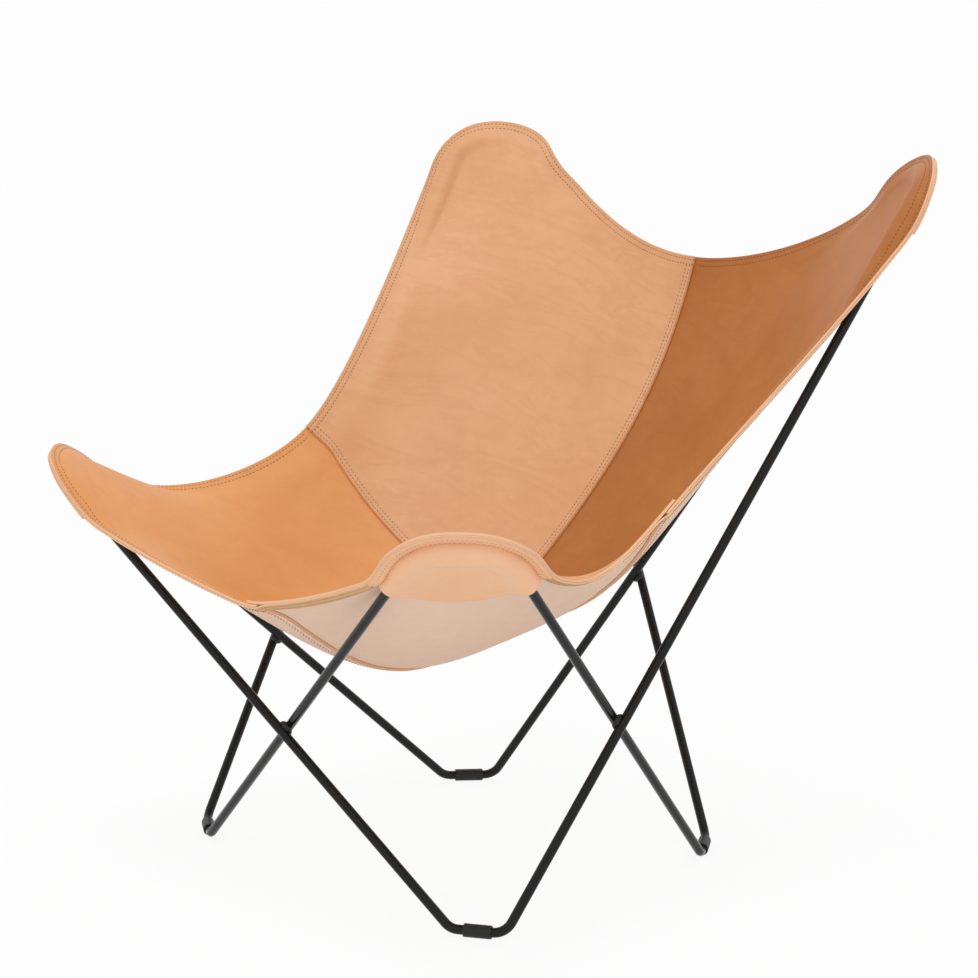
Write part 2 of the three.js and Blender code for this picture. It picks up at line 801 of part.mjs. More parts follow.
// A pocket is sewn under the hem round a nose, passes below the rod and ends at an open mouth,
// whose edge bows away from the nose. Inside the bend of the rod it lies closer to the panel.
function pocketColumns(corner) {
  const nose = corner.columns.slice(corner.noseColumn, corner.noseColumn + noseColumns + 1);
  const hemDrop = 2 * sewnFit + stripThickness;
  const mouthEnd = (turn) => bandNode(bodyInset, turn, 0, hang(0, turn)).point;
  const mouthFrom = mouthEnd(corner.noseStart);
  const mouthTo = mouthEnd(corner.noseEnd);
  const depth = rodRadius + pocketSlack;
  const toRod = rodMargin - hemWidth;
  return nose.map((column, index) => {
    const rows = hemNodes(column).map(({ point, up }) => ({ point: moved(point, up, -hemDrop), up }));
    const start = tipLocal(corner, rows[1].point).flat;
    const part = index / noseColumns;
    const finish = tipLocal(corner, between(mouthFrom, mouthTo, part)).flat;
    finish.y -= mouthBow * 4 * part * (1 - part);
    const total = start.distanceTo(finish);
    const place = (run, liftAt) => {
      const flat = start.clone().lerp(finish, run / total);
      const lift = liftAt(rodDistance(corner, flat));
      rows.push({ point: tipPoint(corner, flat.x, flat.y, lift), up: corner.axes.up });
    };
    const under = (distance) => -Math.sqrt(Math.max(0, depth ** 2 - distance ** 2));
    const inside = (distance) => -depth + pocketHollow * smooth(Math.min(1, distance / bodyInset));
    [toRod / 7, toRod / 2, toRod].forEach((run) => place(run, under));
    [1, 2, 3].forEach((step) => place(toRod + ((total - toRod) * step) / 3, inside));
    return rows;
  });
}

for (const corner of corners) {
  const geometry = layer(pocketColumns(corner), 0, -pocketThickness);
  addPiece(`pocket_${corner.name}`, geometry, { color: 0xe8b384, roughness: 0.58, metalness: 0 });
}

// The origin moves to the floor, under the middle of the finished chair.
const box = new THREE.Box3().setFromObject(chair, true);
const middle = box.getCenter(new THREE.Vector3());
chair.position.set(-middle.x, -middle.y, -box.min.z);

export default chair;
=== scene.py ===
import bpy
import math
import numpy as np
from mathutils import Matrix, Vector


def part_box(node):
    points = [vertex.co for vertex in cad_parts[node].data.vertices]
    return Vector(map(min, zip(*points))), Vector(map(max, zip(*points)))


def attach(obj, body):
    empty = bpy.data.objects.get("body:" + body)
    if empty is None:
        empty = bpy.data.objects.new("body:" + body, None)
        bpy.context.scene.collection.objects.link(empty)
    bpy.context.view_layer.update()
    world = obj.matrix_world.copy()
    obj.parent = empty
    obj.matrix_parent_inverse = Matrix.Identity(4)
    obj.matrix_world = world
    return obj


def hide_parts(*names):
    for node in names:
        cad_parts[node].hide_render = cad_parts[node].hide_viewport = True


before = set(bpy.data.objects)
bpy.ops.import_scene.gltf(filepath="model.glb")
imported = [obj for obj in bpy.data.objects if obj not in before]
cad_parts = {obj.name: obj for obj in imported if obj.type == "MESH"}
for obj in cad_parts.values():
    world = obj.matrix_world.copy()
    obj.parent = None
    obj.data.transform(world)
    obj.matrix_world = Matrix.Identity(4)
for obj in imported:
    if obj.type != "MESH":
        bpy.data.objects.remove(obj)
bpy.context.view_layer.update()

# The rod frame: two closed loops of 12 mm steel rod, bent cold and powder coated black.
# Each loop is two hairpins, butted inside the sleeves of its feet. A hairpin runs from one
# foot up to its tip, across a short bar there, and down to another foot.
MM = 0.001
CORNERS = ("back_left", "front_left", "front_right", "back_right")
SIDE = {"back_left": -1, "front_left": -1, "front_right": 1, "back_right": 1}
END = {"back_left": 1, "front_left": -1, "front_right": -1, "back_right": 1}
ROD_RADIUS = 6.0
FOOT_HEIGHT = 7.7
TIP_BEND = 52.0
FOOT_BEND = 24.0
# x, y, length and turn in degrees of the foot bars, at the back (1) and at the front (-1).
FOOT_BAR = {1: (228.0, 219.0, 70.0, 53.0), -1: (264.0, 219.0, 68.0, 33.0)}
# x, y, height, length and turn of the tip bars.
TIP_BAR = {1: (389.5, 410.0, 887.0, 103.0, 43.4), -1: (380.0, 356.0, 501.0, 104.0, 42.4)}

sleeve_middle = {}
for corner in CORNERS:
    low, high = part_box("foot_sleeve_" + corner)
    sleeve_middle[corner] = (np.array(low) + np.array(high)) / 2 / MM
FLOOR_POINT = np.mean(list(sleeve_middle.values()), axis=0) * np.array([1, 1, 0])
back_bar = np.array([-FOOT_BAR[1][0], FOOT_BAR[1][1]])
# How far each loop is moved sideways, so that the rods pass each other where they cross.
LOOP_SHIFT = np.abs((sleeve_middle["back_left"] - FLOOR_POINT)[:2] - back_bar)


def unit(vectors):
    return vectors / np.linalg.norm(vectors, axis=-1, keepdims=True)


def bar_ends(corner, x, y, height, length, turn, way):
    angle = math.radians(turn)
    along = np.array([SIDE[corner] * math.cos(angle), -END[corner] * math.sin(angle), 0])
    aside, ahead = way * LOOP_SHIFT
    middle = np.array([SIDE[corner] * x + aside, END[corner] * y - ahead, height])
    return middle - along * length / 2, middle + along * length / 2


foot, tip = {}, {}
for corner in CORNERS:
    loop = SIDE[corner] * END[corner]
    x, y, length, turn = FOOT_BAR[END[corner]]
    foot[corner] = bar_ends(corner, x, y, FOOT_HEIGHT, length, turn, -loop)
    tip[corner] = bar_ends(corner, *TIP_BAR[END[corner]], loop)


def corner_at(side, end):
    return next(name for name in CORNERS if SIDE[name] == side and END[name] == end)


def bent_path(stops, radii, steps=16):
    points, ways = [stops[0]], [unit(stops[1] - stops[0])]
    for before, turn, after, radius in zip(stops, stops[1:], stops[2:], radii):
        a, b = unit(turn - before), unit(after - turn)
        angle = math.acos(float(a @ b))
        entry = turn - a * radius * math.tan(angle / 2)
        inward = unit(b - a * (a @ b))
        for part in np.linspace(0, angle, steps + 1):
            points.append(entry + a * radius * math.sin(part) + inward * radius * (1 - math.cos(part)))
            ways.append(a * math.cos(part) + inward * math.sin(part))
    points.append(stops[-1])
    ways.append(unit(stops[-1] - stops[-2]))
    return np.array(points), np.array(ways)


def add_piece(name, points, faces, materials, face_slots=None, sharp=50.0):
    mesh = bpy.data.meshes.new(name)
    mesh.from_pydata(((points + FLOOR_POINT) * MM).tolist(), [], faces)
    for material in materials:
        mesh.materials.append(material)
    if face_slots is not None:
        mesh.polygons.foreach_set("material_index", face_slots)
    mesh.polygons.foreach_set("use_smooth", [True] * len(mesh.polygons))
    mesh.set_sharp_from_angle(angle=math.radians(sharp))
    mesh.update()
    piece = bpy.data.objects.new(name, mesh)
    bpy.context.scene.collection.objects.link(piece)
    return piece


def sweep(points, ways, radius, sides=24, first_side=(0.3, 0.2, 0.9)):
    across = unit(np.cross(ways[0], first_side))
    angle = np.arange(sides) * 2 * math.pi / sides
    rings = []
    for point, way in zip(points, ways):
        across = unit(across - way * (across @ way))
        other = np.cross(way, across)
        rings.append(point + radius * (np.cos(angle)[:, None] * across + np.sin(angle)[:, None] * other))
    faces = []
    for ring in range(len(rings) - 1):
        for side in range(sides):
            a, b = ring * sides + side, ring * sides + (side + 1) % sides
            faces.append((a, b, b + sides, a + sides))
    last = (len(rings) - 1) * sides
    faces.append(tuple(reversed(range(sides))))
    faces.append(tuple(range(last, last + sides)))
    return np.concatenate(rings), faces


def new_node(tree, kind, **values):
    node = tree.nodes.new(kind)
    for key, value in values.items():
        if hasattr(node, key):
            setattr(node, key, value)
        else:
            node.inputs[key.replace("_", " ").title()].default_value = value
    return node


def feed(tree, value, socket):
    """Links another node's socket to this one, or sets a plain number or colour on it."""
    if isinstance(value, bpy.types.NodeSocket):
        tree.links.new(value, socket)
    else:
        socket.default_value = value


def noise(tree, place, scale, detail, roughness=0.5, distortion=0.0):
    node = new_node(tree, "ShaderNodeTexNoise", scale=scale, detail=detail,
                    roughness=roughness, distortion=distortion)
    feed(tree, place, node.inputs["Vector"])
    return node.outputs["Fac"]


def map_range(tree, value, start, finish, low=0.0, high=1.0):
    """Turns a value that goes from low to high into one that goes from start to finish."""
    node = new_node(tree, "ShaderNodeMapRange", from_min=low, from_max=high, to_min=start, to_max=finish)
    feed(tree, value, node.inputs["Value"])
    return node.outputs["Result"]


def mix_colour(tree, share, one, two):
    node = new_node(tree, "ShaderNodeMixRGB")
    for label, value in (("Fac", share), ("Color1", one), ("Color2", two)):
        feed(tree, value, node.inputs[label])
    return node.outputs["Color"]


def calculate(tree, operation, *values):
    node = new_node(tree, "ShaderNodeMath", operation=operation)
    for index, value in enumerate(values):
        feed(tree, value, node.inputs[index])
    return node.outputs["Value"]


def bump(tree, height, strength, distance):
    node = new_node(tree, "ShaderNodeBump", strength=strength, distance=distance)
    feed(tree, height, node.inputs["Height"])
    return node.outputs["Normal"]


def new_material(name):
    material = bpy.data.materials.new(name)
    material.use_nodes = True
    tree = material.node_tree
    return material, tree, tree.nodes["Principled BSDF"]


def object_place(tree):
    return tree.nodes.new("ShaderNodeTexCoord").outputs["Object"]


def powder_coat(name, colour, roughness, peel, specular):
    material, tree, shader = new_material(name)
    place = object_place(tree)
    shade = noise(tree, place, scale=26.0, detail=4.0)
    rough = map_range(tree, shade, roughness - 0.06, roughness + 0.08)
    feed(tree, rough, shader.inputs["Roughness"])
    lighter = [1.7 * value for value in colour]
    tint = mix_colour(tree, shade, (*colour, 1), (*lighter, 1))
    feed(tree, tint, shader.inputs["Base Color"])
    grit = noise(tree, place, scale=900.0, detail=2.0)
    feed(tree, bump(tree, grit, strength=peel, distance=0.0002), shader.inputs["Normal"])
    shader.inputs["Specular IOR Level"].default_value = specular
    return material


rod_coat = powder_coat("rod_powder_coat", (0.0045, 0.004, 0.0035), 0.16, 0.06, 0.24)
for corner in CORNERS:
    across, along = corner_at(-SIDE[corner], END[corner]), corner_at(SIDE[corner], -END[corner])
    start, finish = sum(foot[along]) / 2, sum(foot[across]) / 2
    stops = [start, foot[along][1], tip[corner][1], tip[corner][0], foot[across][0], finish]
    path, ways = bent_path(stops, [FOOT_BEND, TIP_BEND, TIP_BEND, FOOT_BEND])
    points, faces = sweep(path, ways, ROD_RADIUS)
    rod = add_piece("rod_" + corner, points, faces, [rod_coat])
    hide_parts("frame_rod_" + corner)
    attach(rod, "root")

# The weld beads: rounded lumps of weld metal between the rods where the two loops pass each
# other, at the front, the back and both sides. They are ground a little and coated with the rods.
BEAD_REACH = 10.5
BEAD_DEPTH = 6.0
BEAD_SIDES, BEAD_RINGS = 24, 12
# The two corners whose rods cross at each place, and which end of their bars the rods leave from.
CROSSINGS = {"front": ("front_left", "front_right", 0), "back": ("back_left", "back_right", 0),
             "left": ("back_left", "front_left", 1), "right": ("back_right", "front_right", 1)}
weld_coat = powder_coat("weld_powder_coat", (0.0065, 0.0058, 0.005), 0.28, 0.5, 0.35)
for place, (first, second, end) in CROSSINGS.items():
    one, two = unit(foot[second][end] - tip[first][end]), unit(foot[first][end] - tip[second][end])
    between = tip[second][end] - tip[first][end]
    cross = np.cross(one, two)
    run = np.cross(between, two) @ cross / (cross @ cross)
    normal = unit(cross)
    middle = tip[first][end] + one * run + normal * (between @ normal) / 2
    bisector = unit(one + two)
    sideways = np.cross(normal, bisector)
    bead_axes = np.array([bisector * BEAD_REACH, sideways * BEAD_REACH, normal * BEAD_DEPTH])
    points, faces = [], []
    for ring in range(1, BEAD_RINGS):
        tilt = math.pi * ring / BEAD_RINGS
        for angle in np.linspace(0, 2 * math.pi, BEAD_SIDES, endpoint=False):
            flat = math.sin(tilt)
            points.append([flat * math.cos(angle), flat * math.sin(angle), math.cos(tilt)])
    last = len(points) - BEAD_SIDES
    points += [[0, 0, 1], [0, 0, -1]]
    for side in range(BEAD_SIDES):
        after = (side + 1) % BEAD_SIDES
        faces.append((len(points) - 2, side, after))
        faces.append((last + side, len(points) - 1, last + after))
        for ring in range(0, last, BEAD_SIDES):
            low = ring + BEAD_SIDES
            faces.append((ring + side, low + side, low + after, ring + after))
    bead = add_piece("weld_bead_" + place, middle + np.array(points) @ bead_axes, faces, [weld_coat])
    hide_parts("weld_" + place)
    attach(bead, "root")

# The foot sleeves: short black plastic tubes pushed over the foot bars, with softly rounded
# ends. The underside is worn flat where it stands on the floor.
SLEEVE_RADIUS = 8.3
SLEEVE_BORE = ROD_RADIUS + 0.2
SLEEVE_LIP = 1.1
SLEEVE_SIDES, LIP_STEPS = 40, 5
sleeve_plastic = powder_coat("sleeve_plastic", (0.009, 0.0086, 0.008), 0.48, 0.35, 0.35)
for corner in CORNERS:
    inner, outer = foot[corner]
    along = unit(outer - inner)
    low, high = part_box("foot_sleeve_" + corner)
    reach = (high[0] - low[0]) / MM
    half = (reach - 2 * SLEEVE_RADIUS * abs(along[1])) / abs(along[0]) / 2
    middle = (inner + outer) / 2
    stations, radii = [], []
    for step in range(LIP_STEPS + 1):
        angle = step / LIP_STEPS * math.pi / 2
        stations.append(-half + SLEEVE_LIP * (1 - math.sin(angle)))
        radii.append(SLEEVE_RADIUS - SLEEVE_LIP * (1 - math.cos(angle)))
    stations = [-half] + stations[::-1] + [-value for value in stations] + [half]
    radii = [SLEEVE_BORE] + radii[::-1] + radii + [SLEEVE_BORE]
    side = np.cross([0, 0, 1], along)
    angle = np.arange(SLEEVE_SIDES) * 2 * math.pi / SLEEVE_SIDES
    ring = np.cos(angle)[:, None] * side + np.sin(angle)[:, None] * np.array([0, 0, 1.0])
    points = np.concatenate([middle + along * at + ring * radius for at, radius in zip(stations, radii)])
    points[:, 2] = np.maximum(points[:, 2], 0.0)
    faces = []
    for row in range(len(stations)):
        here, beyond = row * SLEEVE_SIDES, (row + 1) % len(stations) * SLEEVE_SIDES
        for col in range(SLEEVE_SIDES):
            after = (col + 1) % SLEEVE_SIDES
            faces.append((here + col, here + after, beyond + after, beyond + col))
    sleeve = add_piece("sleeve_" + corner, points, faces, [sleeve_plastic])
    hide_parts("foot_sleeve_" + corner)
    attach(sleeve, "root")

# The sling's cut edge: at each corner it keeps one margin round the rod, as a nose, and
# between the noses it hangs in long curves. The whole edge is walked from the middle of the
# back by the left, a quarter turn to each corner.
ROD_MARGIN = 28.0
NOSE_BEND = 62.0
# How far a nose runs along the rod's inner and outer leg, at the back (1) and the front (-1).
NOSE_LEG = {1: (50.0, 74.0), -1: (77.0, 64.0)}
# Its height over the rods' plane at the apex, at the inner end and at the outer end.
NOSE_LIFT = {1: (5.7, 21.3, -7.8), -1: (8.0, -2.3, 9.9)}
# The flare and the rise with which the edge leaves the inner and the outer end of a nose.
EDGE_LEAVE = {1: ((0.69, -0.44), (0.0, 0.12)), -1: ((0.41, 0.01), (0.17, 0.21))}
# y and z of the middle of the edge, and the reach of its curve from there and from the nose.
EDGE_MIDDLE = {1: (422.3, 751.4, 135.0, 57.5), -1: (-360.0, 383.0, 48.0, 32.7)}
SIDE_MIDDLE = (349.0, 19.0, 513.0)
SIDE_SLOPE = math.radians(36)
SIDE_REACH = 92.0
OUTER_REACH = {1: 122.0, -1: 98.0}
ARC_POINTS, NOSE_POINTS, CURVE_POINTS = 13, 60, 65
RIM_STEPS = 64


def smooth(share):
    share = np.clip(share, 0, 1)
    return share * share * (3 - 2 * share)


axes, legs = {}, {}
for corner in CORNERS:
    inner, outer = tip[corner]
    inner_way = unit(foot[corner_at(-SIDE[corner], END[corner])][0] - inner)
    outer_way = unit(foot[corner_at(SIDE[corner], -END[corner])][1] - outer)
    across = unit(inner - outer)
    down = inner_way + outer_way
    outward = -unit(down - across * (down @ across))
    up = np.cross(across, outward)
    up = up * np.sign(up[2])
    axes[corner] = (np.array([across, outward, up]), (inner + outer) / 2)
    legs[corner] = [unit(np.array([way @ across, way @ outward])) for way in (inner_way, outer_way)]


def tip_points(corner, local):
    return axes[corner][1] + local @ axes[corner][0]


def tip_local(corner, points):
    return (points - axes[corner][1]) @ axes[corner][0].T


def tip_line(corner, which, radius, set_off, run):
    """A line that keeps set_off from half of the tip's rod: the bar, the bend and one leg."""
    side, leg = (1, -1)[which], legs[corner][which]
    half = np.linalg.norm(tip[corner][0] - tip[corner][1]) / 2
    turn = math.acos(side * leg[0])
    trim = radius * math.tan(turn / 2)
    angle = math.pi / 2 - side * turn * np.linspace(0, 1, ARC_POINTS)
    arc = np.stack([np.cos(angle), np.sin(angle)], 1) * (radius + set_off)
    arc = arc + np.array([side * (half - trim), -radius])
    return np.concatenate([[[0, set_off]], arc, [arc[-1] + leg * (run - trim)]])


def run_lengths(points):
    return np.concatenate([[0], np.cumsum(np.linalg.norm(np.diff(points, axis=0), axis=1))])


def evenly(points, count, close=False):
    sums = run_lengths(points)
    at = np.linspace(0, sums[-1], count, endpoint=close)
    return np.stack([np.interp(at, sums, points[:, axis]) for axis in range(3)], 1)


def bezier(a, b, c, d):
    t = np.linspace(0, 1, CURVE_POINTS)[:, None]
    return a * (1 - t) ** 3 + 3 * b * t * (1 - t) ** 2 + 3 * c * t * t * (1 - t) + d * t ** 3


def nose_half(corner, which):
    lift = NOSE_LIFT[END[corner]]
    line = tip_line(corner, which, NOSE_BEND, ROD_MARGIN, NOSE_LEG[END[corner]][which])
    line = evenly(np.column_stack([line, np.zeros(len(line))]), NOSE_POINTS, close=True)
    line[:, 2] = lift[0] + (lift[1 + which] - lift[0]) * smooth(np.linspace(0, 1, NOSE_POINTS))
    return tip_points(corner, line)


def leave_way(corner, which):
    flare, rise = EDGE_LEAVE[END[corner]][which]
    leg = legs[corner][which]
    flat = leg + (1, -1)[which] * flare * np.array([-leg[1], leg[0]])
    return unit(np.array([*flat, rise]) @ axes[corner][0])


start_turn, nose_turn, rim = {}, {}, []
for index, corner in enumerate(CORNERS):
    side, end = SIDE[corner], END[corner]
    inner, outer = nose_half(corner, 0), nose_half(corner, 1)
    y, z, mid_reach, nose_reach = EDGE_MIDDLE[end]
    end_middle = np.array([0, y, z])
    side_middle = np.array([side * SIDE_MIDDLE[0], SIDE_MIDDLE[1], SIDE_MIDDLE[2]])
    side_way = np.array([0, math.cos(SIDE_SLOPE), math.sin(SIDE_SLOPE)])
    stretches = [
        bezier(end_middle, end_middle + np.array([side * mid_reach, 0, 0]),
               inner[-1] + leave_way(corner, 0) * nose_reach, inner[-1]),
        np.concatenate([inner[:0:-1], outer]),
        bezier(outer[-1], outer[-1] + leave_way(corner, 1) * OUTER_REACH[end],
               side_middle + side_way * end * SIDE_REACH, side_middle),
    ]
    if index % 2:
        stretches = [stretch[::-1] for stretch in stretches[::-1]]
    spans = np.array([run_lengths(stretch)[-1] for stretch in stretches])
    start_turn[corner] = index * math.pi / 2
    nose_turn[corner] = start_turn[corner] + np.cumsum(spans)[:2] / spans.sum() * math.pi / 2
    rim.append(evenly(np.concatenate([stretches[0], stretches[1][1:], stretches[2][1:]]), RIM_STEPS))
rim = np.concatenate(rim)

# The hanging shape: a sheet stretched on that edge, let down into a slack seat and gathered
# towards the back. out is 0 at the seat's middle and 1 at the edge, turn is 0 at the back.
SEAT_SAG, BACK_SAG, CROSS_SAG, EDGE_SAG = 297.0, 92.0, 117.0, 47.0
SEAT_SHIFT, SEAT_GATHER = 46.0, 98.0
EDGE_LIFT = 300.0
WAVES = 60
NUDGE = 0.005
counts = np.arange(WAVES + 1)
spin = counts[:, None] * np.arange(len(rim)) * 2 * math.pi / len(rim)
weight = np.where(counts == 0, 1, 2)[:, None] / len(rim)
wave_cos = (np.cos(spin) * weight) @ rim
wave_sin = (np.sin(spin) * weight) @ rim


def hang(out, turn):
    out, turn = np.broadcast_arrays(np.asarray(out, float), np.asarray(turn, float))
    fade = np.abs(out)[..., None] ** counts
    angle = turn[..., None] * counts
    points = (fade * np.cos(angle)) @ wave_cos + (fade * np.sin(angle)) @ wave_sin
    slack = 1 - out * out
    crossing = CROSS_SAG * np.cos(2 * turn) + EDGE_SAG * np.cos(4 * turn)
    where = np.cos(2 * turn) ** 2 * (1 - np.cos(3 * turn)) * (2 + np.cos(turn)) / 4
    lift = EDGE_LIFT * out ** 6 * where
    points[..., 2] -= slack * (SEAT_SAG + BACK_SAG * out ** 3 * np.cos(turn) + out * out * crossing - lift)
    points[..., 1] += slack * (SEAT_SHIFT - SEAT_GATHER * out * np.cos(turn))
    return points


def turn_way(out, turn):
    return (hang(out, turn + NUDGE) - hang(out, turn - NUDGE)) / (2 * NUDGE)


def face_up(out, turn):
    out_way = (hang(out + NUDGE, turn) - hang(out - NUDGE, turn)) / (2 * NUDGE)
    return unit(np.cross(out_way, turn_way(out, turn)))


# The four panels: natural vegetable-tanned leather, 3.6 mm thick, grain side up. They meet in
# a cross at the seat. The back left and front right ones lap 22 mm over the other two, with
# their raw edges showing, and two rows of stitches hold each lap.
PANEL = 3.6
UPPER = {"back_left": True, "front_left": False, "front_right": True, "back_right": False}
LAP = 22.0
LAP_FIT = 0.4
LAP_SPREAD = 0.3 * math.pi / 2
LAP_STITCHES = (4.5, 10.5)
SEAM_STEPS = np.array([0, 0.7, 2.5, 4.5, 7.5, 10.5, 14, 18, 22])
LOWER_STEPS = np.array([12, LAP])
TONGUE_STEPS = np.array([-22, -16, -10.5, -4.5, 0])
HEM_NODES = np.array([0, 8, 16.0])
HEM_ROWS = np.array([0, 0.7, 2.6, 5, 7.5, 10, 12, 14, 16])
HEM_STITCHES = (5, 12)
STITCH_DIP, EDGE_ROUND, HEM_SWELL = 0.35, 0.8, 0.25
BODY_INSET = 46.0
SEAT_NODES, SEAT_ROWS = 13, 64
SEAT_HOLE = 0.002
ROW_CROWD = 0.45
EDGE_COLUMNS, NOSE_COLUMNS = 30, 60
LEAN_LIMIT = 0.5
SMOOTH_PASSES, SMOOTH_ROWS = 16, 4
ROD_RUN = TIP_BAR[1][2] / 3
ROD_COVER = 2.4
DRAPE_REACH, DRAPE_EASE = 16.0, 5.0
FAR_INSIDE = 100.0
hem_count = len(HEM_ROWS)


def seam_turn(out, seam, distance):
    per_turn = np.linalg.norm(turn_way(np.maximum(out, 2 * NUDGE), seam), axis=-1)
    limit = LAP_SPREAD * np.abs(distance) / LAP
    return np.sign(distance) * np.minimum(limit, np.abs(distance) / per_turn)


def column_turns(corner, out):
    """Turns of every column for an array of out values, one row of turns for each."""
    first, last = start_turn[corner], start_turn[corner] + math.pi / 2
    nose_a, nose_b = nose_turn[corner]
    near = SEAM_STEPS[1:] if UPPER[corner] else LOWER_STEPS
    lap_a, lap_b = (float(seam_turn(1.0, seam, LAP)) for seam in (first, last))
    middle = np.concatenate([
        np.linspace(first + lap_a, nose_a, EDGE_COLUMNS, endpoint=False)[1:],
        np.linspace(nose_a, nose_b, NOSE_COLUMNS, endpoint=False),
        np.linspace(nose_b, last - lap_b, EDGE_COLUMNS, endpoint=False)])
    here_a, here_b = seam_turn(out, first, LAP), seam_turn(out, last, LAP)
    share = (middle - first - lap_a) / (last - lap_b - first - lap_a)
    inside = (first + here_a)[:, None] + share * (last - here_b - first - here_a)[:, None]
    steps = np.concatenate([[0], near] if UPPER[corner] else [TONGUE_STEPS, near])
    lead = first + np.stack([seam_turn(out, first, step) for step in steps], 1)
    tail = last - np.stack([seam_turn(out, last, step) for step in steps[::-1]], 1)
    return np.concatenate([lead, inside, tail], 1), len(steps)


def spline_rows(nodes, stretch, rows):
    """Smooth lines through each column's nodes: first the hem's own rows, then even ones that
    start close together and widen towards the seat."""
    chord = np.linalg.norm(np.diff(nodes, axis=1), axis=2)
    at = np.concatenate([np.zeros((len(nodes), 1)), np.cumsum(chord, 1)], 1)
    slope = np.empty_like(nodes)
    ratio = np.diff(nodes, axis=1) / chord[..., None]
    left, right = chord[:, :-1, None], chord[:, 1:, None]
    slope[:, 1:-1] = (ratio[:, :-1] * right + ratio[:, 1:] * left) / (left + right)
    slope[:, 0], slope[:, -1] = ratio[:, 0], ratio[:, -1]
    share = np.linspace(0, 1, rows + 1)[1:]
    share = share * (ROW_CROWD + (1 - ROW_CROWD) * share)
    result = []
    for col in range(len(nodes)):
        hem = HEM_ROWS * stretch[col]
        wanted = np.concatenate([hem, hem[-1] + (at[col, -1] - hem[-1]) * share])
        seg = np.clip(np.searchsorted(at[col], wanted, side="right") - 1, 0, len(chord[col]) - 1)
        span = chord[col, seg]
        t = ((wanted - at[col, seg]) / span)[:, None]
        a, b = nodes[col, seg], nodes[col, seg + 1]
        da, db = slope[col, seg] * span[:, None], slope[col, seg + 1] * span[:, None]
        result.append(a * (1 + 2 * t) * (1 - t) ** 2 + da * t * (1 - t) ** 2
                      + b * t * t * (3 - 2 * t) + db * t * t * (t - 1))
    return np.array(result)


def grid_normals(grid):
    return unit(np.cross(np.gradient(grid, axis=0), np.gradient(grid, axis=1)))


rod_line = {}
for corner in CORNERS:
    rod_line[corner] = [tip_line(corner, which, TIP_BEND, 0.0, ROD_RUN) for which in (0, 1)]


def rod_distance(corner, flat):
    nearest = np.full(len(flat), np.inf)
    for line in rod_line[corner]:
        for a, b in zip(line, line[1:]):
            way = b - a
            run = np.clip(((flat - a) @ way) / (way @ way), 0, 1)
            nearest = np.minimum(nearest, np.linalg.norm(flat - a - run[:, None] * way, axis=1))
    return nearest


def drape(corner, grid):
    """Lifts a sheet where it lies over the tip's rod, with a soft change from free to lying."""
    local = tip_local(corner, grid.reshape(-1, 3))
    away = rod_distance(corner, local[:, :2]) / DRAPE_REACH
    cover = (ROD_RADIUS + ROD_COVER) * (1 - away ** 2)
    apart = np.abs(cover - local[:, 2])
    ease = np.maximum(0, DRAPE_EASE - apart) ** 2 / (4 * DRAPE_EASE)
    local[:, 2] = np.maximum(cover, local[:, 2]) + ease
    return tip_points(corner, local).reshape(grid.shape)


def hem_lean(corner, turns):
    """1 at the seams, falling to 0 at the nose: how far the hem's columns lean along the seams."""
    first, last = start_turn[corner], start_turn[corner] + math.pi / 2
    nose_a, nose_b = nose_turn[corner]
    from_first, from_last = (turns - first) / (nose_a - first), (last - turns) / (last - nose_b)
    return smooth(np.maximum(1 - from_first, 1 - from_last))


def panel_grid(corner):
    """The underside of a panel: columns from seam to seam, rows from the edge to the seat."""
    edge_turns, lead = column_turns(corner, np.array([1.0]))
    edge_turns = edge_turns[0]
    up = face_up(0.9, edge_turns)
    inward = unit(np.cross(up, turn_way(1.0, edge_turns)))
    edge = hang(1.0, edge_turns)
    outs = np.linspace(1, 0.5, 126)
    inside = hang(outs[None], edge_turns[:, None])
    gap = np.array([np.linalg.norm(column[:, None] - rim[None], axis=2).min(1) for column in inside])
    first = np.array([np.interp(BODY_INSET, row, outs) for row in np.maximum.accumulate(gap, 1)])
    body = []
    for step in np.linspace(1, 0, SEAT_NODES):
        out = SEAT_HOLE + (first - SEAT_HOLE) * step
        turns, lead = column_turns(corner, out)
        body.append(hang(out, np.diagonal(turns)))
    way = unit(body[0] - edge)
    way = way / np.maximum(LEAN_LIMIT, (way * inward).sum(1))[:, None]
    lean = hem_lean(corner, edge_turns)[:, None]
    along = inward * (1 - lean) + way * lean
    band = edge[:, None] + along[:, None] * HEM_NODES[None, :, None]
    nodes = np.concatenate([band, np.stack(body, 1)], 1)
    grid = spline_rows(nodes, np.linalg.norm(along, axis=1), SEAT_ROWS)
    ease = smooth((np.arange(grid.shape[1]) - hem_count + 1) / SMOOTH_ROWS)[None, :, None]
    keep = np.ones(len(grid))
    keep[:lead + 1] = keep[-lead - 1:] = 0
    for turn in range(SMOOTH_PASSES):
        middle = grid[1:-1] / 2 + (grid[:-2] + grid[2:]) / 4
        grid[1:-1] += (middle - grid[1:-1]) * ease * keep[1:-1, None, None]
    level = 0.0 if UPPER[corner] else -PANEL - LAP_FIT
    return drape(corner, grid + grid_normals(grid) * level), lead


